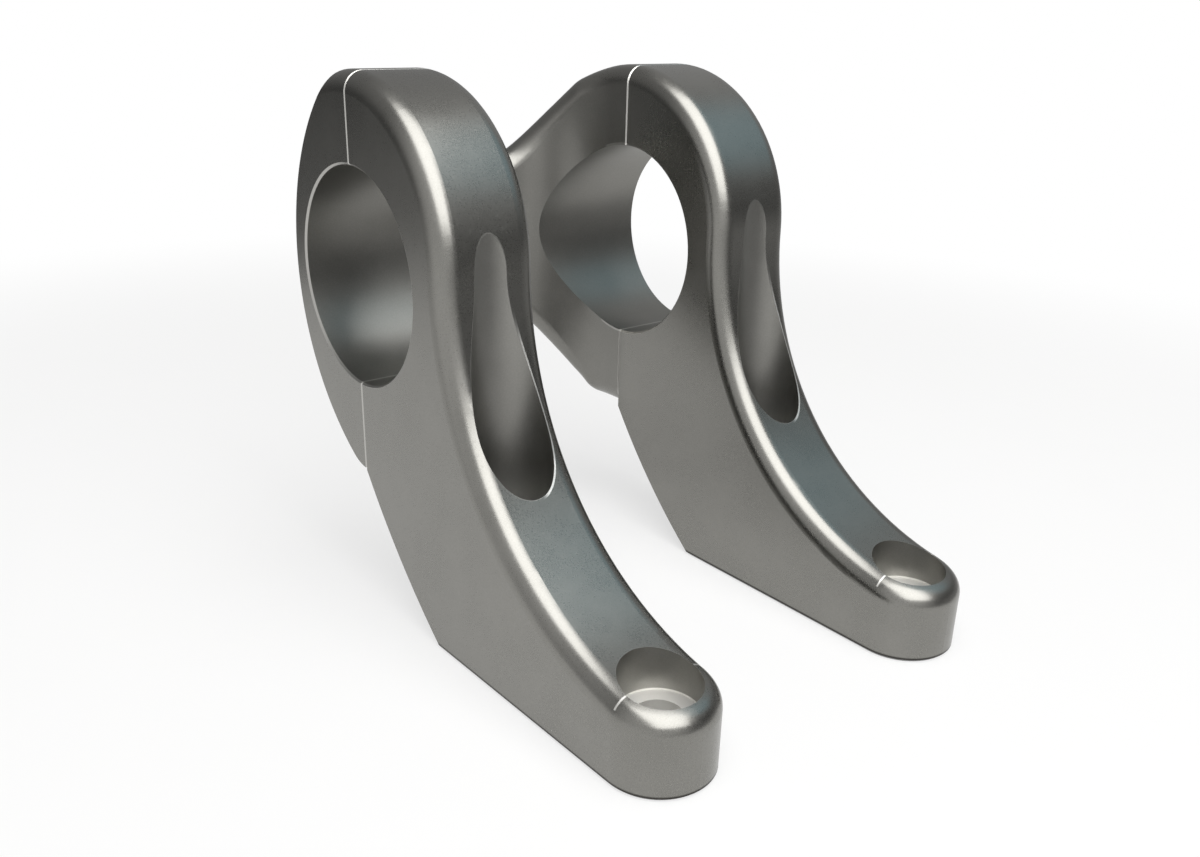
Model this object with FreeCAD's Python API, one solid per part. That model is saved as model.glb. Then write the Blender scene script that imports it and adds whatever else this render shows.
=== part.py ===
import FreeCAD, Part
import math
import os

# Motorcycle handlebar riser clamp
# Two swept riser arms hold the front half of the bar, and one rear bridge clamps the bar to both.
# Own frame, millimetres: origin on the bar axis midway between the arms, +X along the bar,
# +Y rearward to the bridge, +Z up from the feet.

# Bar and arms
BAR_DIAMETER = 31.8
ARM_PITCH = 50.8
ARM_WIDTH = 15.9
BAR_RISE = 52.2

# Ring of each arm round the bar
RING_WALL = 8.7
RING_CENTRE_Y = 1.4
RING_CENTRE_Z = 3.9
CLAMP_DEPTH = 14.0

# Foot and mounting holes
FOOT_HOLE_Y = -59.7
MOUNT_PITCH = 31.5
MOUNT_HOLE_DIAMETER = 6.6
MOUNT_HEAD_BORE_DIAMETER = 11.2
MOUNT_SEAT_HEIGHT = 7.1

# Back edge of each arm
HEEL_Y = -20.4
BACK_BULGE = 1.1

# Rear bridge and the barrel form of its rear
BARREL_SETBACK = 0.4
BARREL_FALL = 6.6
BARREL_RADIUS = 40.6
BARREL_AXIS_Z = -0.3
BRIDGE_BAR_CLEARANCE = 2.35
WINDOW_RADIUS = 13.85
CROWN_RADIUS = 5.0
UNDERSIDE_RADIUS = 5.0
CROWN_CORNER_START = 20.0
CROWN_CORNER_SWEEP = 110.0

# Edges
EDGE_RADIUS = 3.0
RIM_CHAMFER = 0.3
SPLIT_CHAMFER = 0.2
BASE_CHAMFER = 0.4

# Pinch screws
PINCH_WALL = 5.3
PINCH_SEAT = 5.0
PINCH_DIAMETER = 5.0
PINCH_LENGTH = 16.0
PINCH_HEAD_DIAMETER = 8.5
PINCH_HEAD_HEIGHT = 5.0
PINCH_KEY_ACROSS = 4.0
PINCH_KEY_DEPTH = 2.5
PINCH_HEAD_EDGE = 0.5
PINCH_HEAD_CLEARANCE = 0.5
PINCH_HOLE_CLEARANCE = 0.25
PINCH_THREAD_CLEARANCE = 0.05
PINCH_TIP_CLEARANCE = 1.0
DRILL_POINT_ANGLE = 118.0

# Finding edges: where each edge is sampled, and how near a sample lies to a surface it is on
EDGE_SAMPLES = (0.02, 0.5, 0.98)
ON_SURFACE = 0.01

BAR_RADIUS = BAR_DIAMETER / 2
HALF_ARM = ARM_WIDTH / 2
ARM_X = ARM_PITCH / 2
INNER_X = ARM_X - HALF_ARM
OUTER_X = ARM_X + HALF_ARM
REAR_HOLE_Y = FOOT_HOLE_Y + MOUNT_PITCH
TOE_Y = FOOT_HOLE_Y - HALF_ARM
RING_RADIUS = BAR_RADIUS + RING_WALL
RING_FRONT_Y = RING_CENTRE_Y - RING_RADIUS
SWEEP_RADIUS = RING_FRONT_Y - TOE_Y
SPLIT_TOP_Z = RING_CENTRE_Z + math.sqrt(RING_RADIUS ** 2 - RING_CENTRE_Y ** 2)
CLAMP_BOTTOM_Z = -BAR_RADIUS - CLAMP_DEPTH
BRIDGE_FRONT_Y = BAR_RADIUS + BRIDGE_BAR_CLEARANCE
BRIDGE_REAR_Y = RING_CENTRE_Y + RING_RADIUS - BARREL_SETBACK
BARREL_AXIS_Y = BRIDGE_REAR_Y - BARREL_RADIUS
PINCH_OFFSET = BAR_RADIUS + PINCH_WALL
X_AXIS = FreeCAD.Vector(1, 0, 0)
Y_AXIS = FreeCAD.Vector(0, 1, 0)
Z_AXIS = FreeCAD.Vector(0, 0, 1)


def point(y, z, x=0.0):
    return FreeCAD.Vector(x, y, z)


def arc_edge(start, middle, end):
    return Part.Arc(start, middle, end).toShape()


def middle_on_circle(start, end, centre, radius):
    # Point of a circle halfway between two of its points
    middle = (start + end) / 2 - centre
    return centre + middle / middle.Length * radius


def bulged_arc(start, end, bulge):
    # Arc that leaves its chord by the bulge, to the left of the way from start to end
    chord = end - start
    side = FreeCAD.Vector(0, -chord.z, chord.y) / chord.Length
    return arc_edge(start, (start + end) / 2 + side * bulge, end)


def extrude_x(edges, half_length):
    face = Part.Face(Part.Wire(edges))
    return face.extrude(X_AXIS * (2 * half_length)).translated(X_AXIS * -half_length)


def arm_outline():
    # Side view of an arm: ring, swept front, foot, flat base, bulged back and the split face
    top = point(0, SPLIT_TOP_Z)
    front = point(RING_FRONT_Y, RING_CENTRE_Z)
    toe_top = point(TOE_Y, RING_CENTRE_Z - SWEEP_RADIUS)
    toe_base = point(TOE_Y, -BAR_RISE)
    heel = point(HEEL_Y, -BAR_RISE)
    split_bottom = point(0, CLAMP_BOTTOM_Z)
    ring_centre = point(RING_CENTRE_Y, RING_CENTRE_Z)
    sweep_centre = point(TOE_Y, RING_CENTRE_Z)
    ring_middle = middle_on_circle(top, front, ring_centre, RING_RADIUS)
    sweep_middle = middle_on_circle(front, toe_top, sweep_centre, SWEEP_RADIUS)
    return [
        arc_edge(top, ring_middle, front),
        arc_edge(front, sweep_middle, toe_top),
        Part.makeLine(toe_top, toe_base),
        Part.makeLine(toe_base, heel),
        bulged_arc(split_bottom, heel, BACK_BULGE),
        Part.makeLine(split_bottom, top),
    ]


def toe_round(height):
    # Plan view of an arm with its half-round toe
    start = FreeCAD.Vector(HALF_ARM, FOOT_HOLE_Y, 0)
    toe = FreeCAD.Vector(0, TOE_Y, 0)
    end = FreeCAD.Vector(-HALF_ARM, FOOT_HOLE_Y, 0)
    back_left = FreeCAD.Vector(-HALF_ARM, 0, 0)
    back_right = FreeCAD.Vector(HALF_ARM, 0, 0)
    edges = [
        arc_edge(start, toe, end),
        Part.makeLine(end, back_left),
        Part.makeLine(back_left, back_right),
        Part.makeLine(back_right, start),
    ]
    face = Part.Face(Part.Wire(edges))
    return face.extrude(Z_AXIS * (2 * height)).translated(Z_AXIS * -height)


def edges_where(shape, test):
    # Edges whose samples all pass the test
    found = []
    for edge in shape.Edges:
        span = edge.LastParameter - edge.FirstParameter
        samples = [edge.valueAt(edge.FirstParameter + span * part) for part in EDGE_SAMPLES]
        if all(test(sample) for sample in samples):
            found.append(edge)
    return found


def on_arm_front(sample):
    # Front edges lie on the ring or on the sweep, at a side face or on the toe
    ring = math.hypot(sample.y - RING_CENTRE_Y, sample.z - RING_CENTRE_Z) - RING_RADIUS
    sweep = math.hypot(sample.y - TOE_Y, sample.z - RING_CENTRE_Z) - SWEEP_RADIUS
    on_curve = min(abs(ring), abs(sweep)) < ON_SURFACE
    on_side = abs(abs(sample.x) - HALF_ARM) < ON_SURFACE
    on_toe = abs(math.hypot(sample.x, sample.y - FOOT_HOLE_Y) - HALF_ARM) < ON_SURFACE
    return on_curve and (on_side or on_toe)


def on_split_plane(sample):
    return abs(sample.y) < ON_SURFACE


def on_base(sample):
    return abs(sample.z + BAR_RISE) < ON_SURFACE


def mounting_hole(y):
    # Clearance hole from the base and a head bore that is open upward
    seat_z = MOUNT_SEAT_HEIGHT - BAR_RISE
    hole = Part.makeCylinder(MOUNT_HOLE_DIAMETER / 2, 2 * BAR_RISE, point(y, -2 * BAR_RISE))
    head = Part.makeCylinder(MOUNT_HEAD_BORE_DIAMETER / 2, 2 * BAR_RISE, point(y, seat_z))
    return hole.fuse(head)


def bar_bore(half_length, rims):
    # Bore along X with a countersunk rim at each given station
    bore = Part.makeCylinder(BAR_RADIUS, 2 * half_length, point(0, 0, -half_length), X_AXIS)
    for x, outward in rims:
        large = BAR_RADIUS + RIM_CHAMFER
        rim = Part.makeCone(large, BAR_RADIUS, RIM_CHAMFER, point(0, 0, x), X_AXIS * -outward)
        bore = bore.fuse(rim)
    return bore


def pinch_heights():
    return (PINCH_OFFSET, -PINCH_OFFSET)


def tapped_hole(z):
    # Blind hole for a pinch screw, from the split face into the arm
    depth = PINCH_LENGTH - PINCH_SEAT + PINCH_TIP_CLEARANCE
    radius = PINCH_DIAMETER / 2 + PINCH_THREAD_CLEARANCE
    drill_point = radius / math.tan(math.radians(DRILL_POINT_ANGLE / 2))
    hole = Part.makeCylinder(radius, depth, point(0, z), -Y_AXIS)
    return hole.fuse(Part.makeCone(radius, 0, drill_point, point(-depth, z), -Y_AXIS))


def riser_arm(centre_x):
    slab = extrude_x(arm_outline(), HALF_ARM)
    body = slab.common(toe_round(2 * BAR_RISE))
    body = body.makeFillet(EDGE_RADIUS, edges_where(body, on_arm_front))
    body = body.makeChamfer(SPLIT_CHAMFER, edges_where(body, on_split_plane))
    body = body.makeChamfer(BASE_CHAMFER, edges_where(body, on_base))
    body = body.cut(bar_bore(ARM_WIDTH, [(-HALF_ARM, -1), (HALF_ARM, 1)]))
    for y in (FOOT_HOLE_Y, REAR_HOLE_Y):
        body = body.cut(mounting_hole(y))
    for z in pinch_heights():
        body = body.cut(tapped_hole(z))
    return body.translated(X_AXIS * centre_x)


def bridge_blank():
    # Side view of the bridge before its rear is shaped: ring crown, flat underside and split face
    top = point(0, SPLIT_TOP_Z)
    rear = point(RING_CENTRE_Y + RING_RADIUS, RING_CENTRE_Z)
    ring_centre = point(RING_CENTRE_Y, RING_CENTRE_Z)
    rear_base = point(RING_CENTRE_Y + RING_RADIUS, CLAMP_BOTTOM_Z)
    split_bottom = point(0, CLAMP_BOTTOM_Z)
    edges = [
        arc_edge(top, middle_on_circle(top, rear, ring_centre, RING_RADIUS), rear),
        Part.makeLine(rear, rear_base),
        Part.makeLine(rear_base, split_bottom),
        Part.makeLine(split_bottom, top),
    ]
    return extrude_x(edges, OUTER_X)


def rear_barrel():
    # Solid of a plan arc turned about an axis along X, deepest in the middle of the bridge
    plan_radius = (OUTER_X ** 2 + BARREL_FALL ** 2) / (2 * BARREL_FALL)
    half_length = OUTER_X + EDGE_RADIUS
    end_y = BRIDGE_REAR_Y - plan_radius + math.sqrt(plan_radius ** 2 - half_length ** 2)
    left = point(end_y, BARREL_AXIS_Z, -half_length)
    right = point(end_y, BARREL_AXIS_Z, half_length)
    axis_left = point(BARREL_AXIS_Y, BARREL_AXIS_Z, -half_length)
    axis_right = point(BARREL_AXIS_Y, BARREL_AXIS_Z, half_length)
    edges = [
        arc_edge(left, point(BRIDGE_REAR_Y, BARREL_AXIS_Z), right),
        Part.makeLine(right, axis_right),
        Part.makeLine(axis_right, axis_left),
        Part.makeLine(axis_left, left),
    ]
    return Part.Face(Part.Wire(edges)).revolve(axis_left, X_AXIS, 360)


def bridge_window(height):
    # Plan of the opening between the two clamps, with round rear corners
    corner = WINDOW_RADIUS * (1 - math.sqrt(0.5))
    front_right = FreeCAD.Vector(INNER_X, -ARM_WIDTH, 0)
    right = FreeCAD.Vector(INNER_X, BRIDGE_FRONT_Y - WINDOW_RADIUS, 0)
    right_corner = FreeCAD.Vector(INNER_X - corner, BRIDGE_FRONT_Y - corner, 0)
    rear_right = FreeCAD.Vector(INNER_X - WINDOW_RADIUS, BRIDGE_FRONT_Y, 0)
    rear_left = FreeCAD.Vector(WINDOW_RADIUS - INNER_X, BRIDGE_FRONT_Y, 0)
    left_corner = FreeCAD.Vector(corner - INNER_X, BRIDGE_FRONT_Y - corner, 0)
    left = FreeCAD.Vector(-INNER_X, BRIDGE_FRONT_Y - WINDOW_RADIUS, 0)
    front_left = FreeCAD.Vector(-INNER_X, -ARM_WIDTH, 0)
    edges = [
        Part.makeLine(front_right, right),
        arc_edge(right, right_corner, rear_right),
        Part.makeLine(rear_right, rear_left),
        arc_edge(rear_left, left_corner, left),
        Part.makeLine(left, front_left),
        Part.makeLine(front_left, front_right),
    ]
    face = Part.Face(Part.Wire(edges))
    return face.extrude(Z_AXIS * (2 * height)).translated(Z_AXIS * -height)


def pinch_clearance(x, z):
    # Through hole and head bore for a pinch screw, open to the rear
    hole_radius = PINCH_DIAMETER / 2 + PINCH_HOLE_CLEARANCE
    head_radius = PINCH_HEAD_DIAMETER / 2 + PINCH_HEAD_CLEARANCE
    reach = 2 * BRIDGE_REAR_Y
    hole = Part.makeCylinder(hole_radius, reach, point(-reach / 2, z, x), Y_AXIS)
    head = Part.makeCylinder(head_radius, reach, point(PINCH_SEAT, z, x), Y_AXIS)
    return hole.fuse(head)


def full_width_edges(shape, above):
    # Edges that cross the whole bridge behind the split face, above or below the bar
    found = []
    for edge in shape.Edges:
        centre = edge.CenterOfMass
        beyond = centre.z > BAR_RADIUS if above else centre.z < -BAR_RADIUS
        crosses = edge.BoundBox.XLength > 2 * INNER_X
        if crosses and beyond and centre.y > SPLIT_CHAMFER:
            found.append(edge)
    return found


def on_window(sample):
    # Window edges run along its side faces, its round corners and its rear face
    x = abs(sample.x)
    straight_x = INNER_X - WINDOW_RADIUS
    straight_y = BRIDGE_FRONT_Y - WINDOW_RADIUS
    if x < straight_x:
        return abs(sample.y - BRIDGE_FRONT_Y) < ON_SURFACE
    if sample.y < straight_y:
        return abs(x - INNER_X) < ON_SURFACE
    corner = math.hypot(x - straight_x, sample.y - straight_y)
    return abs(corner - WINDOW_RADIUS) < ON_SURFACE


def window_rims(shape):
    # Upper and lower rims of the window, without the seams between its faces
    rims = []
    for edge in edges_where(shape, on_window):
        upright = edge.BoundBox.ZLength > BAR_RADIUS
        if not upright:
            rims.append(edge)
    return rims


def crown_corner(side):
    # Ring-shaped tool outside the rounded side edge of the crown, from before the split face to the rear
    centre = point(RING_CENTRE_Y, RING_CENTRE_Z)
    beyond_x = OUTER_X + EDGE_RADIUS
    beyond_r = RING_RADIUS + EDGE_RADIUS
    flat_x = OUTER_X - EDGE_RADIUS
    flat_r = RING_RADIUS - EDGE_RADIUS
    diagonal = EDGE_RADIUS * math.sqrt(0.5)
    crown = centre + point(0, RING_RADIUS, side * flat_x)
    middle = centre + point(0, flat_r + diagonal, side * (flat_x + diagonal))
    face_end = centre + point(0, flat_r, side * OUTER_X)
    outer_low = centre + point(0, flat_r, side * beyond_x)
    outer_high = centre + point(0, beyond_r, side * beyond_x)
    inner_high = centre + point(0, beyond_r, side * flat_x)
    edges = [
        arc_edge(crown, middle, face_end),
        Part.makeLine(face_end, outer_low),
        Part.makeLine(outer_low, outer_high),
        Part.makeLine(outer_high, inner_high),
        Part.makeLine(inner_high, crown),
    ]
    face = Part.Face(Part.Wire(edges))
    face.rotate(centre, X_AXIS, CROWN_CORNER_START)
    return face.revolve(centre, X_AXIS, -CROWN_CORNER_SWEEP)


def rear_bridge():
    body = bridge_blank().common(rear_barrel())
    body = body.makeFillet(CROWN_RADIUS, full_width_edges(body, True))
    body = body.makeFillet(UNDERSIDE_RADIUS, full_width_edges(body, False))
    body = body.cut(bridge_window(2 * BAR_RISE))
    body = body.makeFillet(EDGE_RADIUS, window_rims(body))
    for side in (-1, 1):
        body = body.cut(crown_corner(side))
    body = body.makeChamfer(SPLIT_CHAMFER, edges_where(body, on_split_plane))
    body = body.cut(bar_bore(ARM_PITCH, [(-OUTER_X, -1), (OUTER_X, 1)]))
    for x in (-ARM_X, ARM_X):
        for z in pinch_heights():
            body = body.cut(pinch_clearance(x, z))
    return body


def pinch_screw(x, z):
    # Socket head cap screw, head to the rear
    head_radius = PINCH_HEAD_DIAMETER / 2
    head_top = PINCH_SEAT + PINCH_HEAD_HEIGHT
    head = Part.makeCylinder(head_radius, PINCH_HEAD_HEIGHT, point(PINCH_SEAT, z, x), Y_AXIS)
    rim = [edge for edge in head.Edges if abs(edge.CenterOfMass.y - head_top) < ON_SURFACE]
    head = head.makeChamfer(PINCH_HEAD_EDGE, rim)
    shank = Part.makeCylinder(PINCH_DIAMETER / 2, PINCH_LENGTH, point(PINCH_SEAT, z, x), -Y_AXIS)
    corner = PINCH_KEY_ACROSS / math.sqrt(3)
    corners = []
    for index in range(7):
        angle = math.radians(60 * index)
        corners.append(point(head_top, z + corner * math.sin(angle), x + corner * math.cos(angle)))
    socket = Part.Face(Part.makePolygon(corners)).extrude(-Y_AXIS * PINCH_KEY_DEPTH)
    return head.fuse(shank).removeSplitter().cut(socket)


def write(name, shape):
    shape.exportStep(os.path.join("parts", name + ".step"))
    box = shape.BoundBox
    print(name, len(shape.Solids), round(shape.Volume, 1), shape.isValid(), box)


def main():
    os.makedirs("parts", exist_ok=True)
    write("left_riser_arm", riser_arm(-ARM_X))
    write("right_riser_arm", riser_arm(ARM_X))
    write("rear_clamp_bridge", rear_bridge())
    screws = [pinch_screw(x, z) for x in (-ARM_X, ARM_X) for z in pinch_heights()]
    write("pinch_screws", Part.makeCompound(screws))


main()
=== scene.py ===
"""Studio picture of a handlebar riser clamp: finishes for its parts, detailed screws, light and camera."""

import logging
import math
import operator
from dataclasses import dataclass
from enum import Enum
from functools import reduce
from typing import Any, Mapping, Optional, Sequence, Union

import bmesh
import bpy
from mathutils import Matrix, Vector


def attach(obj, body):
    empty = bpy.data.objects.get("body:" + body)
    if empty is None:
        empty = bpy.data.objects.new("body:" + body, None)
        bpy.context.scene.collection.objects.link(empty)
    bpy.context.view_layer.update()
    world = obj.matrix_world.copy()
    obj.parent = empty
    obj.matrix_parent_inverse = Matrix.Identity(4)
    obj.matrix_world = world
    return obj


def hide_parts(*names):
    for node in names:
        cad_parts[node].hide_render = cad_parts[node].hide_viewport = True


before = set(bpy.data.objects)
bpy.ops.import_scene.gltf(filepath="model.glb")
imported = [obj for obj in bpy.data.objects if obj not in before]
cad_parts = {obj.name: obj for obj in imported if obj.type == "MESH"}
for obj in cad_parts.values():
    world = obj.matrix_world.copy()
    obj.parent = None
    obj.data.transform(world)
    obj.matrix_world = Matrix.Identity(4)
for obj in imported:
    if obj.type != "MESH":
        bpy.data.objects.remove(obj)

logging.basicConfig(level=logging.INFO, format="%(name)s: %(message)s")
LOG = logging.getLogger("riser_clamp")

Number = Union[int, float]
Colour = tuple[float, float, float, float]

WHITE: Colour = (1.0, 1.0, 1.0, 1.0)
BLACK: Colour = (0.0, 0.0, 0.0, 1.0)
NOISE_ROUGHNESS = 0.55
SOFT_BORDER_MM = 0.04


def metres(millimetres: Number) -> float:
    """Length in metres of a length in millimetres."""
    return millimetres / 1000.0


def direction(azimuth: float, elevation: float) -> Vector:
    """Unit vector towards a place round the part.

    Args:
        azimuth: Degrees from the rear (+Y) towards +X.
        elevation: Degrees above the horizon.

    Returns:
        The direction.
    """
    turn, rise = math.radians(azimuth), math.radians(elevation)
    return Vector((math.sin(turn) * math.cos(rise), math.cos(turn) * math.cos(rise), math.sin(rise)))


def lamp_axes(azimuth: float, elevation: float) -> tuple[Vector, Vector, Vector]:
    """Axes of a lamp that faces the part.

    Args:
        azimuth: Degrees from the rear (+Y) towards +X.
        elevation: Degrees above the horizon.

    Returns:
        Unit vectors towards the lamp, across it and up it.
    """
    ahead = direction(azimuth, elevation)
    side = Vector((0, 0, 1)).cross(ahead).normalized()
    return ahead, side, ahead.cross(side)


class Slot(Enum):
    """Material slots of the record, which also name the finishes."""

    BODY = "blasted_aluminium"
    SCREW = "screw_steel"


class Value:
    """One number that varies over a surface, with Python arithmetic that adds Math nodes."""

    def __init__(self, graph: "NodeGraph", socket: bpy.types.NodeSocket) -> None:
        """Keep a socket with the graph it belongs to.

        Args:
            graph: The graph that further nodes go into.
            socket: The output that carries the number.
        """
        self.graph = graph
        self.socket = socket

    def _combine(self, operation: str, first: "Operand", second: "Operand") -> "Value":
        """Join two operands with a Math node.

        Args:
            operation: The Math node's operation.
            first: Left operand.
            second: Right operand.

        Returns:
            The result as a value of the same graph.
        """
        node = self.graph.add("ShaderNodeMath", {"operation": operation}, {0: first, 1: second})
        return Value(self.graph, node.outputs[0])

    def __add__(self, other: "Operand") -> "Value":
        """Sum of this value and another."""
        return self._combine("ADD", self, other)

    def __radd__(self, other: "Operand") -> "Value":
        """Sum of another value and this one."""
        return self._combine("ADD", other, self)

    def __sub__(self, other: "Operand") -> "Value":
        """This value less another."""
        return self._combine("SUBTRACT", self, other)

    def __rsub__(self, other: "Operand") -> "Value":
        """Another value less this one."""
        return self._combine("SUBTRACT", other, self)

    def __mul__(self, other: "Operand") -> "Value":
        """Product of this value and another."""
        return self._combine("MULTIPLY", self, other)

    def __rmul__(self, other: "Operand") -> "Value":
        """Product of another value and this one."""
        return self._combine("MULTIPLY", other, self)

    def __truediv__(self, other: "Operand") -> "Value":
        """This value over another."""
        return self._combine("DIVIDE", self, other)

    def unsigned(self) -> "Value":
        """This value without its sign."""
        node = self.graph.add("ShaderNodeMath", {"operation": "ABSOLUTE"}, {0: self})
        return Value(self.graph, node.outputs[0])

    def between(self, low: Number, high: Number) -> "Value":
        """Smooth share, from 0 to 1, of the way from one number to another.

        Args:
            low: Number that gives 0.
            high: Number that gives 1.

        Returns:
            The smooth share.
        """
        settings = {"interpolation_type": "SMOOTHSTEP"}
        inputs = {"Value": self, "From Min": low, "From Max": high, "To Min": 0.0, "To Max": 1.0}
        node = self.graph.add("ShaderNodeMapRange", settings, inputs)
        return Value(self.graph, node.outputs[0])

    def inside(self, low_mm: Number, high_mm: Number, border_mm: Number = SOFT_BORDER_MM) -> "Value":
        """Mask of a band of lengths, with a narrow soft border outside it.

        Args:
            low_mm: Where the band starts, in millimetres.
            high_mm: Where the band ends, in millimetres.
            border_mm: Width of the soft border, in millimetres.

        Returns:
            1 in the band and 0 outside it.
        """
        start = self.between(metres(low_mm - border_mm), metres(low_mm))
        end = self.between(metres(high_mm), metres(high_mm + border_mm))
        return start * (1.0 - end)


Operand = Union[Value, bpy.types.NodeSocket, Number, Sequence[float]]


class NodeGraph:
    """Nodes of one material or world, added by type with their settings and inputs."""

    def __init__(self, tree: bpy.types.NodeTree) -> None:
        """Start from an empty tree.

        Args:
            tree: The node tree to fill.
        """
        self.tree = tree
        tree.nodes.clear()

    def add(
        self,
        kind: str,
        settings: Optional[Mapping[str, Any]] = None,
        inputs: Optional[Mapping[Union[str, int], Operand]] = None,
    ) -> bpy.types.Node:
        """Add a node, set it up, then fill or link its inputs.

        Args:
            kind: Blender's name of the node type.
            settings: Properties of the node, set before its sockets.
            inputs: Values or links for its sockets, by name or index.

        Returns:
            The new node.
        """
        node = self.tree.nodes.new(kind)
        for name, setting in (settings or {}).items():
            setattr(node, name, setting)
        for key, operand in (inputs or {}).items():
            self._feed(node.inputs[key], operand)
        return node

    def _feed(self, socket: bpy.types.NodeSocket, operand: Operand) -> None:
        """Link or set one input socket.

        Args:
            socket: The input.
            operand: A value, an output socket, a number or a list of numbers.
        """
        if isinstance(operand, Value):
            self.tree.links.new(operand.socket, socket)
        elif isinstance(operand, bpy.types.NodeSocket):
            self.tree.links.new(operand, socket)
        else:
            socket.default_value = operand

    def place(self) -> bpy.types.NodeSocket:
        """Object coordinates, in metres of the part's own frame."""
        return self.add("ShaderNodeTexCoord").outputs["Object"]

    def along(self, way: Sequence[float]) -> Value:
        """Distance along a direction from the part's origin, in metres.

        Args:
            way: Unit vector of the direction.

        Returns:
            The distance.
        """
        inputs = {0: self.place(), 1: tuple(way)}
        node = self.add("ShaderNodeVectorMath", {"operation": "DOT_PRODUCT"}, inputs)
        return Value(self, node.outputs["Value"])

    def radius(self, centre: Sequence[float], flatten: Sequence[float]) -> Value:
        """Distance from a point, or from a line where one axis is flattened to 0, in metres.

        Args:
            centre: The point.
            flatten: Factor on each axis, 0 along the line.

        Returns:
            The distance.
        """
        kind = "ShaderNodeVectorMath"
        shifted = self.add(kind, {"operation": "SUBTRACT"}, {0: self.place(), 1: tuple(centre)})
        flat = self.add(kind, {"operation": "MULTIPLY"}, {0: shifted.outputs[0], 1: tuple(flatten)})
        node = self.add(kind, {"operation": "LENGTH"}, {0: flat.outputs[0]})
        return Value(self, node.outputs["Value"])

    def noise(self, scale: float, detail: float = 2.0, stretch: Sequence[float] = (1, 1, 1)) -> Value:
        """Noise over the part.

        Args:
            scale: Cycles per metre.
            detail: Octaves of finer noise.
            stretch: Factors on the three axes, for grain that runs one way.

        Returns:
            Noise around one half.
        """
        mapped = self.add("ShaderNodeMapping", None, {"Vector": self.place(), "Scale": stretch})
        inputs = {"Vector": mapped.outputs[0], "Scale": scale, "Detail": detail, "Roughness": NOISE_ROUGHNESS}
        return Value(self, self.add("ShaderNodeTexNoise", None, inputs).outputs["Fac"])

    def blend(self, share: Operand, first: Operand, second: Operand) -> bpy.types.NodeSocket:
        """Colour between two colours.

        Args:
            share: 0 for the first colour, 1 for the second.
            first: First colour.
            second: Second colour.

        Returns:
            The blended colour's socket.
        """
        node = self.add("ShaderNodeMix", {"data_type": "RGBA"}, {0: share, 6: first, 7: second})
        return node.outputs[2]

    def bump(self, height: Value, strength: float, depth_mm: float) -> bpy.types.NodeSocket:
        """Normal of a surface with fine relief.

        Args:
            height: Relief from 0 to 1.
            strength: How much of the relief shows.
            depth_mm: Height of the full relief.

        Returns:
            The normal's socket.
        """
        inputs = {"Height": height, "Strength": strength, "Distance": metres(depth_mm)}
        return self.add("ShaderNodeBump", None, inputs).outputs["Normal"]

    def seen(self) -> Value:
        """1 on rays from the eye, in reflections and through clear things, 0 on rays that carry light.

        Returns:
            The sum of the three kinds of ray.
        """
        path = self.add("ShaderNodeLightPath")
        seen = Value(self, path.outputs["Is Camera Ray"]) + path.outputs["Is Glossy Ray"]
        return seen + path.outputs["Is Transmission Ray"]

    def surface(self, shader: bpy.types.Node) -> None:
        """Make a shader the tree's surface."""
        output = self.add("ShaderNodeOutputMaterial")
        self.tree.links.new(shader.outputs[0], output.inputs["Surface"])


def new_material(name: str) -> tuple[bpy.types.Material, NodeGraph]:
    """Make an empty node material.

    Args:
        name: The material's name.

    Returns:
        The material and the graph of its nodes.
    """
    material = bpy.data.materials.new(name)
    material.use_nodes = True
    return material, NodeGraph(material.node_tree)


@dataclass(frozen=True)
class BodyPlaces:
    """Places on the arms and the bridge that their finish follows, in millimetres of the part's own frame."""

    arm_x: float = 25.4
    arm_half_width: float = 7.95
    bar_radius: float = 15.9
    web_front: float = 18.25
    foot_hole: float = -59.7
    rear_hole: float = -28.2
    head_bore: float = 5.6
    seat_level: float = -45.1
    toe_top: float = -39.9
    base_level: float = -52.2
    base_chamfer: float = 0.4


@dataclass(frozen=True)
class CutMetalAndPaintedLight:
    """Widths in millimetres and strengths of the paler cut metal beside the blasted skin, with its painted
    highlights and painted light, and of the painted contact shade along the base.
    """

    skin: float = 0.03
    # The split chamfers are cut metal, painted paler partly as a highlight along the split line.
    split_half: float = 0.2
    split_highlight_share: float = 0.5
    # The bore rim chamfer on the side faces is cut metal, painted paler partly as a highlight.
    bore_rim: tuple[float, float] = (0.04, 0.3)
    bore_rim_depth: float = 0.35
    bore_rim_highlight_share: float = 0.4
    # The screw seats are cut metal, painted paler partly as light where the bores shade them.
    seat_rise: float = 0.2
    # Painted light on the lower walls of the rear pockets, fading upwards.
    wall_top: float = -34.0
    wall_fade: float = 12.0
    lower_wall_light_share: float = 0.7
    # Painted highlight along the rear pocket rims, on the +X side of each arm only.
    pocket_rim_highlight: tuple[float, float] = (0.06, 0.24)
    pocket_rim_top: float = -8.0
    pocket_rim_fade: float = 8.0
    pocket_rim_from: float = 2.4
    pocket_rim_side_fade: float = 1.6
    seam_half: float = 0.12
    seam_drop: float = 1.3
    seam_clear: float = 0.1
    # Band of the painted contact shade along the foot chamfer.
    base_shade_band: float = 0.15
    base_shade_fade: float = 0.3


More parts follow.
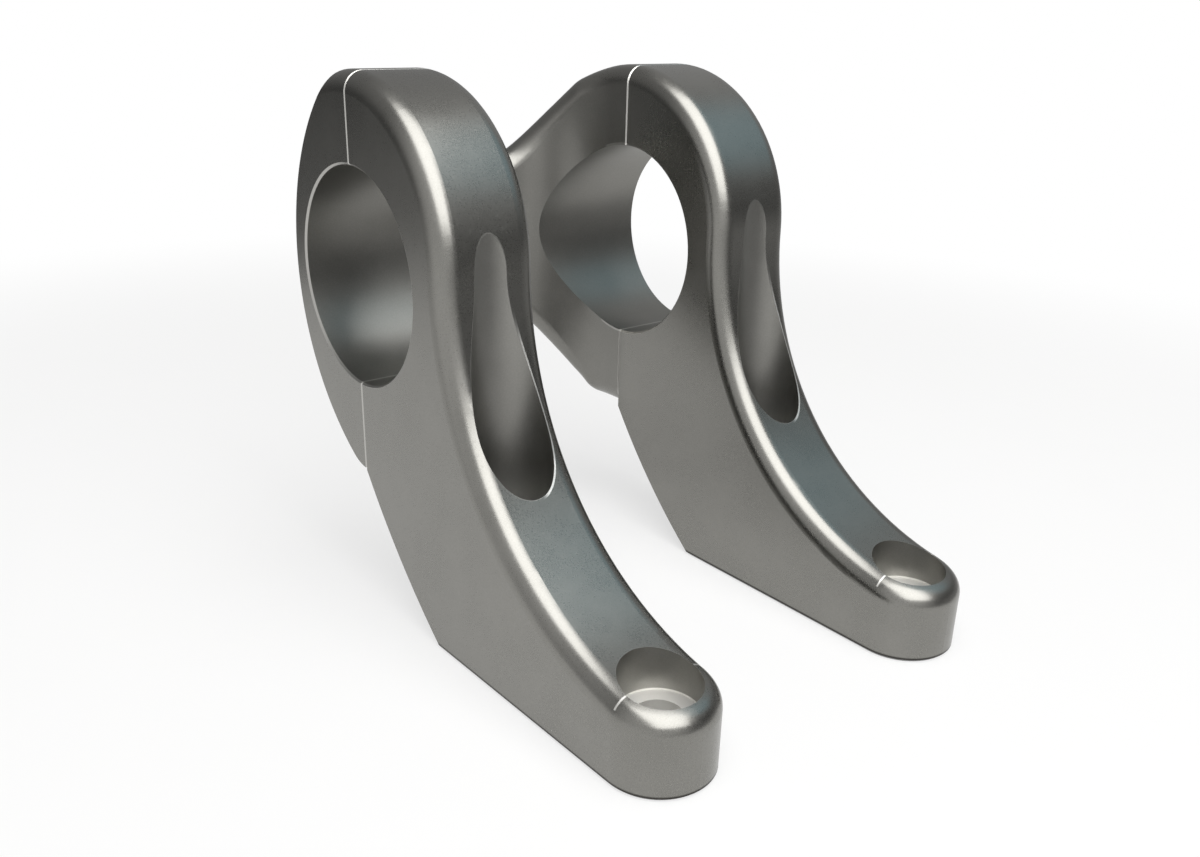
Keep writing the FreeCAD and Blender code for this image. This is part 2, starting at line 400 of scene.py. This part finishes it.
@dataclass(frozen=True)
class BlastedAluminium:
    """Machined aluminium, bead blasted to a fine even grain, with paler cut edges that carry painted
    highlights, painted light in the screw pockets and bores, and a painted contact shade along the base.
    """

    colour: Colour = (0.214, 0.210, 0.195, 1.0)
    worn_colour: Colour = (0.266, 0.261, 0.243, 1.0)
    # Pale colour of the cut edges, also used for the painted highlights and the painted light in the pockets
    # and bores.
    cut_metal_and_light_colour: Colour = (0.72, 0.71, 0.68, 1.0)
    # Colour of the painted contact shade along the foot chamfer.
    shade_colour: Colour = (0.05, 0.048, 0.044, 1.0)
    places: BodyPlaces = BodyPlaces()
    edges: CutMetalAndPaintedLight = CutMetalAndPaintedLight()
    plain_tone: float = 0.45
    grain_tone: float = 1.1
    cloud_tone: float = 0.7
    # Share of painted light on the pocket and head bore walls.
    bore_wall_painted_light: float = 0.055
    roughness: float = 0.285
    grain_roughness: float = 0.10
    cloud_roughness: float = 0.08
    pit_roughness: float = 0.05
    window_roughness: float = 0.09
    cut_roughness: float = 0.18
    bore_wall_roughness: float = 0.13
    bar_bore_roughness: float = 0.10
    grain_per_metre: float = 5200.0
    pits_per_metre: float = 2340.0
    pit_levels: tuple[float, float] = (0.60, 0.74)
    cloud_per_metre: float = 130.0
    grain_depth_mm: float = 0.005
    grain_strength: float = 0.35
    window_clear: tuple[float, float] = (0.02, 0.1)
    window_start: float = 0.2
    window_fade: float = 2.0

    def make(self) -> bpy.types.Material:
        """Build the material.

        Returns:
            The finished material.
        """
        material, graph = new_material(Slot.BODY.value)
        grain = graph.noise(self.grain_per_metre, 3.0)
        cloud = graph.noise(self.cloud_per_metre, 3.0)
        pits = graph.noise(self.pits_per_metre, 1.0).between(*self.pit_levels)
        # Cut metal with its painted highlights and painted light, as one mask.
        bare_and_painted_light = self._cut_metal_and_painted_light(graph)
        bore_walls = self._bore_walls(graph)
        tone = (grain - 0.5) * self.grain_tone + (cloud - 0.5) * self.cloud_tone + self.plain_tone
        colour = graph.blend(tone.between(0.0, 1.0), self.colour, self.worn_colour)
        # Cut metal, painted highlights and painted light on the pocket and bore walls take the pale colour.
        colour = graph.blend(bore_walls * self.bore_wall_painted_light + bare_and_painted_light, colour, self.cut_metal_and_light_colour)
        # Painted contact shade along the foot chamfer.
        colour = graph.blend(self._base_contact_shade(graph), colour, self.shade_colour)
        rough = (grain - 0.5) * self.grain_roughness + (cloud - 0.5) * self.cloud_roughness
        rough = rough + self.roughness + pits * self.pit_roughness
        rough = rough + self._window(graph) * self.window_roughness
        rough = rough + bare_and_painted_light.between(0.0, 1.0) * self.cut_roughness
        rough = rough + bore_walls * self.bore_wall_roughness
        bar_bore = self._bar_reach(graph).inside(0.0, self.places.bar_radius + self.edges.skin)
        rough = rough + bar_bore * self.bar_bore_roughness
        normal = graph.bump(grain, self.grain_strength, self.grain_depth_mm)
        inputs = {"Base Color": colour, "Roughness": rough, "Normal": normal, "Metallic": 1.0}
        graph.surface(graph.add("ShaderNodeBsdfPrincipled", None, inputs))
        return material

    def _bar_reach(self, graph: NodeGraph) -> Value:
        """Distance from the bar's axis, in metres."""
        return graph.radius((0, 0, 0), (0, 1, 1))

    def _hole_reach(self, graph: NodeGraph, x: float, y: float) -> Value:
        """Distance from the upright axis of a mounting hole at x and y, in metres."""
        return graph.radius((metres(x), metres(y), 0.0), (1, 1, 0))

    def _in_head_bore(self, reach: Value) -> Value:
        """Mask of what lies on or within the wall of a head bore."""
        return reach.inside(0.0, self.places.head_bore + self.edges.skin)

    def _bore_walls(self, graph: NodeGraph) -> Value:
        """Mask of the walls of the screw pockets and head bores, which get a rougher skin and a little
        painted light in their colour.

        Args:
            graph: The material's graph.

        Returns:
            1 on those walls.
        """
        at = self.places
        spots = [(x, y) for x in (-at.arm_x, at.arm_x) for y in (at.foot_hole, at.rear_hole)]
        walls = [self._in_head_bore(self._hole_reach(graph, x, y)) for x, y in spots]
        return reduce(operator.add, walls)

    def _cut_metal_and_painted_light(self, graph: NodeGraph) -> Value:
        """Mask of paler marks: cut split edges and bore rims with painted highlights, cut screw seats partly
        brightened as painted light, painted light on the lower pocket walls, painted highlights on the pocket
        rims, and a pale line across each toe seam.

        Args:
            graph: The material's graph.

        Returns:
            1 on these marks.
        """
        at, edges = self.places, self.edges
        height = graph.along((0, 0, 1))
        depth = graph.along((0, 1, 0))
        rim_start, rim_end = (at.bar_radius + distance for distance in edges.bore_rim)
        # Cut bore rim, paler partly as a painted highlight.
        bore_rim = self._bar_reach(graph).inside(rim_start, rim_end) * edges.bore_rim_highlight_share
        # Cut screw seats, paler partly as painted light.
        seat_band = height.inside(at.base_level, at.seat_level + edges.seat_rise)
        # Painted light on the lower pocket walls.
        lower_wall_painted_light = height.inside(at.seat_level, edges.wall_top, edges.wall_fade) * edges.lower_wall_light_share
        # Painted highlight on the pocket rims.
        pocket_start, pocket_end = (at.head_bore + distance for distance in edges.pocket_rim_highlight)
        pocket_highlight_band = height.inside(at.seat_level, edges.pocket_rim_top, edges.pocket_rim_fade)
        # A pale line across the toe fillet at its seam, where the round toe begins.
        seam = depth.inside(at.foot_hole - edges.seam_half, at.foot_hole + edges.seam_half)
        seam = seam * height.inside(at.toe_top - edges.seam_drop, 0.0)
        # Split chamfers: cut metal, paler partly as a painted highlight.
        mask = depth.inside(-edges.split_half, edges.split_half) * edges.split_highlight_share
        for x in (-at.arm_x, at.arm_x):
            across = graph.along((1, 0, 0)) - metres(x)
            sideways = across.unsigned()
            side_face = sideways.inside(at.arm_half_width - edges.bore_rim_depth, at.arm_half_width)
            mask = mask + bore_rim * side_face
            foot = self._hole_reach(graph, x, at.foot_hole)
            rear = self._hole_reach(graph, x, at.rear_hole)
            # Cut screw seats, paler partly as painted light.
            mask = mask + self._in_head_bore(foot) * seat_band
            mask = mask + self._in_head_bore(rear) * seat_band
            # Painted light on the rear pocket's lower wall.
            mask = mask + self._in_head_bore(rear) * lower_wall_painted_light
            # Painted highlight on the pocket rim, on the +X side of the arm only.
            inward = across.inside(edges.pocket_rim_from, at.arm_half_width, edges.pocket_rim_side_fade)
            mask = mask + rear.inside(pocket_start, pocket_end) * pocket_highlight_band * inward
            mask = mask + seam * sideways.inside(at.head_bore + edges.seam_clear, at.arm_half_width)
        return mask

    def _base_contact_shade(self, graph: NodeGraph) -> Value:
        """Mask of the chamfer round the feet, where a dark line is painted as contact shade against the
        ground.

        Args:
            graph: The material's graph.

        Returns:
            1 on the chamfer.
        """
        top = self.places.base_level + self.places.base_chamfer + self.edges.base_shade_band
        return graph.along((0, 0, 1)).inside(self.places.base_level, top, self.edges.base_shade_fade)

    def _window(self, graph: NodeGraph) -> Value:
        """Mask of the faces between the arms, where the blast came in at a slant and left a rougher skin.

        Args:
            graph: The material's graph.

        Returns:
            1 on those faces.
        """
        at = self.places
        near, far = self.window_clear
        between_arms = graph.along((1, 0, 0)).unsigned().inside(0.0, at.arm_x - at.arm_half_width + near)
        off_bore = self._bar_reach(graph).between(metres(at.bar_radius + near), metres(at.bar_radius + far))
        behind = graph.along((0, 1, 0)).inside(self.window_start, at.web_front + far, self.window_fade)
        return between_arms * off_bore * behind


@dataclass(frozen=True)
class ScrewSteel:
    """Stainless steel of the pinch screws, with fine turning marks and a slightly dull skin."""

    colour: Colour = (0.42, 0.415, 0.41, 1.0)
    dull_colour: Colour = (0.30, 0.295, 0.29, 1.0)
    dull_levels: tuple[float, float] = (0.35, 0.7)
    roughness: float = 0.27
    skin_roughness: float = 0.2
    mark_roughness: float = 0.12
    skin_per_metre: float = 420.0
    marks_per_metre: float = 2600.0
    marks_stretch: tuple[float, float, float] = (0.15, 1.0, 0.15)
    mark_strength: float = 0.4
    mark_depth_mm: float = 0.006

    def make(self) -> bpy.types.Material:
        """Build the material.

        Returns:
            The finished material.
        """
        material, graph = new_material(Slot.SCREW.value)
        marks = graph.noise(self.marks_per_metre, 2.0, self.marks_stretch)
        skin = graph.noise(self.skin_per_metre, 3.0)
        colour = graph.blend(skin.between(*self.dull_levels), self.colour, self.dull_colour)
        rough = self.roughness + (skin - 0.5) * self.skin_roughness + (marks - 0.5) * self.mark_roughness
        normal = graph.bump(marks, self.mark_strength, self.mark_depth_mm)
        inputs = {"Base Color": colour, "Roughness": rough, "Normal": normal, "Metallic": 1.0}
        graph.surface(graph.add("ShaderNodeBsdfPrincipled", None, inputs))
        return material


@dataclass(frozen=True)
class StudioPaper:
    """Pale floor paper that stays white for the eye and keeps the object's shadow. Distances in metres."""

    colour: Colour = (0.86, 0.86, 0.85, 1.0)
    fibre_colour: Colour = (0.88, 0.88, 0.875, 1.0)
    fibres_per_metre: float = 60.0
    roughness: float = 0.9
    glow: float = 0.66
    clear_from: float = 0.10
    clear_to: float = 0.30

    def make(self) -> bpy.types.Material:
        """Build the material.

        Returns:
            The finished material.
        """
        material, graph = new_material("studio_paper")
        split = graph.add("ShaderNodeSeparateXYZ", None, {"Vector": graph.place()})
        x, y = Value(graph, split.outputs["X"]), Value(graph, split.outputs["Y"])
        far = (x * x + y * y).between(self.clear_from ** 2, self.clear_to ** 2)
        fibre = graph.noise(self.fibres_per_metre, 2.0)
        colour = graph.blend(fibre, self.colour, self.fibre_colour)
        inputs = {"Base Color": colour, "Roughness": self.roughness}
        paper = graph.add("ShaderNodeBsdfPrincipled", None, inputs)
        glow = graph.add("ShaderNodeEmission", None, {"Color": WHITE, "Strength": 1.0})
        share = graph.seen() * (far * (1.0 - self.glow) + self.glow)
        inputs = {0: share, 1: paper.outputs[0], 2: glow.outputs[0]}
        graph.surface(graph.add("ShaderNodeMixShader", None, inputs))
        return material


@dataclass(frozen=True)
class Patch:
    """Soft patch of the tent towards one direction, lighter or darker than the plain cloth."""

    way: tuple[float, float, float]
    start: float
    full: float
    weight: float

    def mask(self, graph: NodeGraph, per_metre: float) -> Value:
        """Mask of the patch.

        Args:
            graph: The cloth's graph.
            per_metre: One over the tent's radius in metres.

        Returns:
            1 in the middle of the patch.
        """
        return (graph.along(self.way) * per_metre).between(self.start, self.full)


@dataclass(frozen=True)
class TentCloth:
    """Grey cloth of the tent that the metal reflects, open where the soft box shines in."""

    radius: float
    opening: tuple[float, float]
    half_width: float
    half_height: float
    plain: float = 0.30
    front_left: Patch = Patch((-0.80, -0.60, 0.0), 0.25, 0.85, 0.50)
    rear_left: Patch = Patch((-0.66, 0.75, 0.0), 0.45, 0.97, -0.22)
    front_right: Patch = Patch((0.80, -0.60, 0.0), 0.30, 0.90, -0.20)
    right_high: Patch = Patch((0.72, 0.0, 0.69), 0.55, 0.95, 0.17)
    cool_high: Patch = Patch((0.60, -0.35, 0.72), 0.87, 0.98, 0.20)
    cool: Colour = (0.73, 1.0, 1.12, 1.0)
    low_levels: tuple[float, float] = (0.0, 0.75)
    skirt_levels: tuple[float, float] = (-0.15, 0.10)
    skirt_sides: tuple[float, float] = (0.20, 0.80)
    skirt_weight: float = 0.30
    edge: float = 0.01
    front_depth: float = 0.001

    def make(self) -> bpy.types.Material:
        """Build the material.

        Returns:
            The finished material.
        """
        material, graph = new_material("tent_cloth")
        glow = graph.add("ShaderNodeEmission", None, {"Color": self._shade(graph), "Strength": 1.0})
        clear = graph.add("ShaderNodeBsdfTransparent")
        inputs = {0: self._open(graph), 1: glow.outputs[0], 2: clear.outputs[0]}
        graph.surface(graph.add("ShaderNodeMixShader", None, inputs))
        return material

    def _shade(self, graph: NodeGraph) -> bpy.types.NodeSocket:
        """Colour and brightness of the cloth.

        Args:
            graph: The cloth's graph.

        Returns:
            The colour's socket.
        """
        per_metre = 1.0 / metres(self.radius)
        height = graph.along((0, 0, 1)) * per_metre
        low = 1.0 - height.between(*self.low_levels)
        sides = (graph.along((1.0, 0.0, 0.0)) * per_metre).unsigned().between(*self.skirt_sides)
        skirt = sides * (1.0 - height.between(*self.skirt_levels))
        cool_high = self.cool_high.mask(graph, per_metre)
        level = self.front_left.mask(graph, per_metre) * self.front_left.weight + self.plain
        for patch in (self.rear_left, self.front_right):
            level = level + patch.mask(graph, per_metre) * low * patch.weight
        level = level + self.right_high.mask(graph, per_metre) * self.right_high.weight
        level = level + cool_high * self.cool_high.weight + skirt * self.skirt_weight
        cloth = graph.blend(cool_high, WHITE, self.cool)
        return graph.blend(level, BLACK, cloth)

    def _open(self, graph: NodeGraph) -> Value:
        """Mask of the opening for the soft box, as seen from the part's origin.

        Args:
            graph: The cloth's graph.

        Returns:
            1 in the opening.
        """
        ahead, side, up = lamp_axes(*self.opening)
        depth = graph.along(ahead)
        inside = depth.between(0.0, self.front_depth)
        for way, half_angle in ((side, self.half_width), (up, self.half_height)):
            reach = math.tan(math.radians(half_angle))
            slope = (graph.along(way) / depth).unsigned()
            inside = inside * (1.0 - slope.between(reach - self.edge, reach + self.edge))
        return inside


def finished_object(name: str, mesh: bmesh.types.BMesh, material: bpy.types.Material) -> bpy.types.Object:
    """Turn a bmesh into an object at the origin with one material.

    Args:
        name: The object's name.
        mesh: The shape, freed here.
        material: Its finish.

    Returns:
        The linked object.
    """
    data = bpy.data.meshes.new(name)
    mesh.to_mesh(data)
    mesh.free()
    data.materials.append(material)
    piece = bpy.data.objects.new(name, data)
    bpy.context.scene.collection.objects.link(piece)
    return piece


@dataclass
class ClampBody:
    """The two riser arms and the rear bridge, which keep their solids and get the blasted finish."""

    nodes: tuple[str, ...] = ("left_riser_arm", "right_riser_arm", "rear_clamp_bridge")

    def dress(self, finish: bpy.types.Material) -> None:
        """Give every node of the body its finish.

        Args:
            finish: The blasted aluminium.
        """
        for name in self.nodes:
            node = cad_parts[name]
            for slot in node.material_slots:
                slot.material = finish
            LOG.info("%s dressed, %d faces", name, len(node.data.polygons))


@dataclass
class PinchScrews:
    """Four socket head screws from the rear, knurled and with hexagon sockets. Sizes in millimetres."""

    across: float = 25.4
    height: float = 21.2
    seat: float = 5.0
    head_radius: float = 4.25
    head_height: float = 5.0
    shank_radius: float = 2.5
    length: float = 16.0
    key_radius: float = 4.0 / math.sqrt(3)
    key_depth: float = 2.5
    key_chamfer: float = 0.25
    key_point: float = 0.6
    key_point_radius: float = 0.05
    head_edge: float = 0.5
    edge_segments: int = 3
    ridges: int = 30
    ridge_height: float = 0.12
    ridge_share: float = 0.94
    ridge_area: float = 0.8
    upright: float = 0.1
    neck: float = 0.2
    thread_crest: float = 0.45
    thread_root: float = 0.35
    thread_depth: float = 0.35
    tip_taper: float = 0.6
    shank_steps: int = 24
    weld: float = 0.001
    sharp_angle: float = 32.0

    def _head(self) -> bmesh.types.BMesh:
        """Head with a hexagon socket and knurled side, standing on the seat along +Z.

        Returns:
            The head's mesh in millimetres.
        """
        mesh = bmesh.new()
        inner = self.head_radius - self.ridge_height
        bmesh.ops.create_cone(
            mesh,
            cap_ends=True,
            segments=2 * self.ridges,
            radius1=inner,
            radius2=inner,
            depth=self.head_height,
            matrix=Matrix.Translation((0, 0, self.head_height / 2)),
        )
        mesh.faces.ensure_lookup_table()
        top = max(mesh.faces, key=lambda face: face.calc_center_median().z)
        rim = list(top.edges)
        bmesh.ops.bevel(
            mesh,
            geom=rim,
            offset=self.head_edge,
            segments=self.edge_segments,
            profile=0.5,
            affect="EDGES",
            material=-1,
        )
        upright = [face for face in mesh.faces if abs(face.normal.z) < self.upright]
        side = [face for face in upright if face.calc_area() > self.ridge_area]
        side.sort(key=lambda face: math.atan2(face.calc_center_median().y, face.calc_center_median().x))
        ridged = bmesh.ops.extrude_discrete_faces(mesh, faces=side[::2])["faces"]
        for face in ridged:
            shift = face.normal * self.ridge_height
            bmesh.ops.translate(mesh, verts=list(face.verts), vec=shift)
            middle = face.calc_center_median()
            for vert in face.verts:
                vert.co.z = middle.z + (vert.co.z - middle.z) * self.ridge_share
        self._cut_socket(mesh)
        return mesh

    def _cut_socket(self, mesh: bmesh.types.BMesh) -> None:
        """Sink the hexagon socket into the head's top.

        Args:
            mesh: The head.
        """
        mesh.faces.ensure_lookup_table()
        top = max(mesh.faces, key=lambda face: (round(face.calc_center_median().z, 4), face.calc_area()))
        level = top.calc_center_median().z
        bmesh.ops.delete(mesh, geom=[top], context="FACES_ONLY")
        outer = [edge for edge in mesh.edges if edge.is_boundary]
        ring = bmesh.ops.create_circle(
            mesh,
            cap_ends=False,
            segments=6,
            radius=self.key_radius + self.key_chamfer,
            matrix=Matrix.Translation((0, 0, level)),
        )["verts"]
        hexagon = list({edge for vert in ring for edge in vert.link_edges})
        bmesh.ops.triangle_fill(mesh, edges=outer + hexagon, use_beauty=True, normal=(0, 0, 1))
        for face in [face for face in mesh.faces if set(face.verts) <= set(ring)]:
            mesh.faces.remove(face)
        steps = (
            (self.key_chamfer, self.key_radius),
            (self.key_depth, self.key_radius),
            (self.key_depth + self.key_point, self.key_point_radius),
        )
        for depth, radius in steps:
            grown = bmesh.ops.extrude_edge_only(mesh, edges=hexagon)["geom"]
            ring = [item for item in grown if isinstance(item, bmesh.types.BMVert)]
            hexagon = [item for item in grown if isinstance(item, bmesh.types.BMEdge)]
            for vert in ring:
                out = Vector((vert.co.x, vert.co.y)).normalized() * radius
                vert.co = Vector((out.x, out.y, level - depth))
        bmesh.ops.contextual_create(mesh, geom=hexagon)

    def _shank(self) -> bmesh.types.BMesh:
        """Shank below the seat, with rolled thread grooves towards its tip.

        Returns:
            The shank's mesh in millimetres.
        """
        mesh = bmesh.new()
        pitch = self.thread_crest + self.thread_root
        root_radius = self.shank_radius - self.thread_depth
        profile = [mesh.verts.new((root_radius, 0, self.neck))]
        depth = 0.0
        while depth < self.length - 2 * pitch:
            for radius, step in ((self.shank_radius, self.thread_crest), (root_radius, self.thread_root)):
                depth += step
                profile.append(mesh.verts.new((radius, 0, -depth)))
        profile.append(mesh.verts.new((self.shank_radius - self.tip_taper, 0, -self.length)))
        profile.append(mesh.verts.new((0, 0, -self.length)))
        edges = [mesh.edges.new(pair) for pair in zip(profile, profile[1:])]
        bmesh.ops.spin(
            mesh,
            geom=profile + edges,
            axis=(0, 0, 1),
            cent=(0, 0, 0),
            steps=self.shank_steps,
            angle=2 * math.pi,
            use_merge=True,
        )
        bmesh.ops.remove_doubles(mesh, verts=list(mesh.verts), dist=self.weld)
        return mesh

    def build(self, finish: bpy.types.Material) -> bpy.types.Object:
        """Make the four screws in place, as one piece.

        Args:
            finish: The screws' steel.

        Returns:
            The piece that stands for the screws' node.
        """
        whole = bmesh.new()
        turn = Matrix.Rotation(-math.pi / 2, 4, "X") @ Matrix.Scale(metres(1), 4)
        for part in (self._head(), self._shank()):
            bmesh.ops.recalc_face_normals(part, faces=list(part.faces))
            data = bpy.data.meshes.new("screw_part")
            part.to_mesh(data)
            part.free()
            for x in (-self.across, self.across):
                for z in (-self.height, self.height):
                    move = Matrix.Translation((metres(x), metres(self.seat), metres(z)))
                    before = len(whole.verts)
                    whole.from_mesh(data)
                    whole.verts.ensure_lookup_table()
                    bmesh.ops.transform(whole, matrix=move @ turn, verts=list(whole.verts)[before:])
            bpy.data.meshes.remove(data)
        piece = finished_object("detailed_pinch_screws", whole, finish)
        piece.data.shade_smooth()
        piece.data.set_sharp_from_angle(angle=math.radians(self.sharp_angle))
        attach(piece, "root")
        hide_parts("pinch_screws")
        LOG.info("%s built, %d faces", piece.name, len(piece.data.polygons))
        return piece


@dataclass
class Studio:
    """Pale floor, white surround, front soft box and grey tent. Lengths in millimetres."""

    floor_level: float = -52.2
    floor_radius: float = 6000.0
    floor_segments: int = 64
    world_level: float = 0.14
    tent_radius: float = 330.0
    tent_segments: tuple[int, int] = (64, 32)
    cloth_lift: float = 0.3
    cloth_edge: float = 175.0
    cloth_shift: tuple[float, float] = (-45.0, 45.0)
    box_way: tuple[float, float] = (-163.0, 57.0)
    box_distance: float = 560.0
    box_size: tuple[float, float] = (600.0, 940.0)
    box_radiance: float = 3.3

    def floor(self) -> bpy.types.Object:
        """Lay the floor under the feet.

        Returns:
            The floor.
        """
        mesh = bmesh.new()
        bmesh.ops.create_circle(
            mesh,
            cap_ends=True,
            segments=self.floor_segments,
            radius=metres(self.floor_radius),
            matrix=Matrix.Translation((0, 0, metres(self.floor_level))),
        )
        floor = finished_object("studio_floor", mesh, StudioPaper().make())
        return floor

    def surround(self) -> None:
        """White world for the eye and for reflections, softer as a light."""
        world = bpy.data.worlds.new("white_surround")
        bpy.context.scene.world = world
        world.use_nodes = True
        graph = NodeGraph(world.node_tree)
        dim = (self.world_level, self.world_level, self.world_level, 1.0)
        inputs = {"Color": graph.blend(graph.seen(), dim, WHITE), "Strength": 1.0}
        background = graph.add("ShaderNodeBackground", None, inputs)
        output = graph.add("ShaderNodeOutputWorld")
        graph.tree.links.new(background.outputs[0], output.inputs["Surface"])

    def soft_box(self) -> bpy.types.Object:
        """Hang the large soft box that faces the part from the front.

        Returns:
            The lamp.
        """
        lamp = bpy.data.lights.new("front_soft_box", "AREA")
        lamp.shape = "RECTANGLE"
        lamp.size, lamp.size_y = metres(self.box_size[0]), metres(self.box_size[1])
        lamp.energy = self.box_radiance * math.pi * lamp.size * lamp.size_y
        holder = bpy.data.objects.new("front_soft_box", lamp)
        bpy.context.scene.collection.objects.link(holder)
        ahead, side, up = lamp_axes(*self.box_way)
        turn = Matrix((side, up, ahead)).transposed().to_4x4()
        holder.matrix_world = Matrix.Translation(ahead * metres(self.box_distance)) @ turn
        holder.visible_camera = False
        LOG.info("soft box hung, %.2f W", lamp.energy)
        return holder

    def tent(self) -> bpy.types.Object:
        """Put up the grey tent that only reflections see, with its cloth run in over the floor's far part.

        Returns:
            The tent.
        """
        mesh = bmesh.new()
        around, upward = self.tent_segments
        radius = metres(self.tent_radius)
        bmesh.ops.create_uvsphere(mesh, u_segments=around, v_segments=upward, radius=radius)
        geometry = list(mesh.verts) + list(mesh.edges) + list(mesh.faces)
        foot = Vector((0, 0, metres(self.floor_level + self.cloth_lift)))
        bmesh.ops.bisect_plane(mesh, geom=geometry, plane_co=foot, plane_no=(0, 0, -1), clear_outer=True)
        hem = [edge for edge in mesh.edges if edge.is_boundary]
        grown = bmesh.ops.extrude_edge_only(mesh, edges=hem)["geom"]
        inner = [item for item in grown if isinstance(item, bmesh.types.BMVert)]
        share = metres(self.cloth_edge) / max(Vector(vert.co.xy).length for vert in inner)
        bmesh.ops.scale(mesh, vec=(share, share, 1.0), verts=inner)
        shift = (metres(self.cloth_shift[0]), metres(self.cloth_shift[1]), 0)
        bmesh.ops.translate(mesh, vec=shift, verts=inner)
        half_angles = [math.degrees(math.atan(side / 2 / self.box_distance)) for side in self.box_size]
        cloth = TentCloth(self.tent_radius, self.box_way, *half_angles)
        tent = finished_object("grey_tent", mesh, cloth.make())
        tent.visible_camera = False
        tent.visible_diffuse = False
        tent.visible_shadow = False
        return tent

    def build(self) -> None:
        """Set up the floor, the surround, the tent and the soft box."""
        self.floor()
        self.surround()
        self.tent()
        self.soft_box()


@dataclass(frozen=True)
class ViewCamera:
    """Camera at the picture's viewpoint. Millimetres, degrees, and shifts in picture widths."""

    place: tuple[float, float, float] = (-106.469, -143.936, 38.004)
    down: float = 22.167
    turn: float = 40.190
    roll: float = -1.665
    lens: float = 33.165
    sensor_width: float = 36.0
    shift: tuple[float, float] = (-0.0052, 0.0194)
    clip_metres: tuple[float, float] = (0.005, 50.0)

    def build(self) -> bpy.types.Object:
        """Place the camera and make it the scene's.

        Returns:
            The camera.
        """
        data = bpy.data.cameras.new("view_camera")
        data.lens = self.lens
        data.sensor_width = self.sensor_width
        data.sensor_fit = "HORIZONTAL"
        data.shift_x, data.shift_y = self.shift
        data.clip_start, data.clip_end = self.clip_metres
        camera = bpy.data.objects.new("view_camera", data)
        bpy.context.scene.collection.objects.link(camera)
        turn = Matrix.Rotation(math.radians(-self.turn), 4, "Z")
        tilt = Matrix.Rotation(math.radians(90.0 - self.down), 4, "X")
        lean = Matrix.Rotation(math.radians(-self.roll), 4, "Z")
        place = Matrix.Translation([metres(value) for value in self.place])
        camera.matrix_world = place @ turn @ tilt @ lean
        bpy.context.scene.camera = camera
        return camera


def main() -> None:
    """Dress the part, build the screws, the studio and the camera, and report them."""
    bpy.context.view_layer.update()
    bpy.context.scene.view_settings.view_transform = "Standard"
    ViewCamera().build()
    ClampBody().dress(BlastedAluminium().make())
    PinchScrews().build(ScrewSteel().make())
    Studio().build()


if __name__ == "__main__":
    main()
